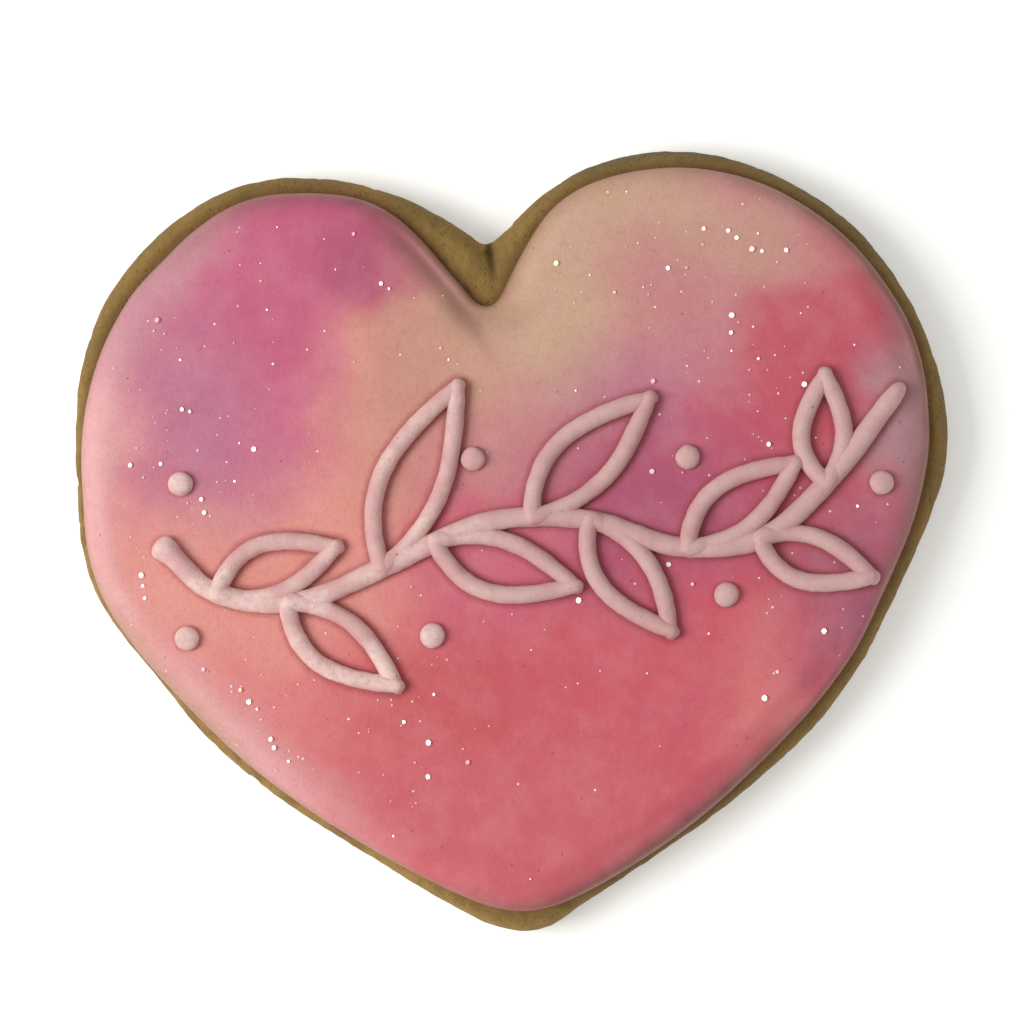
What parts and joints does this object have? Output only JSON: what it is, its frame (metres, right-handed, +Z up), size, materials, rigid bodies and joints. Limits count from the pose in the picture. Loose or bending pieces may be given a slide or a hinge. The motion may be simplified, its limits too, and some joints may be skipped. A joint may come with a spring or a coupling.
{
  "type": "iced sugar cookie",
  "caption": "Heart-shaped baked sugar biscuit with a flat coat of flood icing in a soft watercolour wash, fine glitter, and a raised piped sprig of leaves with dots.",
  "frame": {"origin": "under the middle of the biscuit, on the surface it lies on", "axes": "+Z up through the icing, +Y towards the notch between the heart's lobes, +X to the right as seen from above"},
  "size_m": [0.0918, 0.0808, 0.0106],
  "materials": {
    "biscuit": "matte",
    "flood_icing": "satin",
    "piped_icing": "matte"
  },
  "bodies": {
    "root": {"biscuit": "biscuit", "flood_icing": "flood_icing", "piped_sprig": "piped_icing", "piped_dot_1": "piped_icing", "piped_dot_2": "piped_icing", "piped_dot_3": "piped_icing", "piped_dot_4": "piped_icing", "piped_dot_5": "piped_icing", "piped_dot_6": "piped_icing", "piped_dot_7": "piped_icing"}
  },
  "joints": []
}
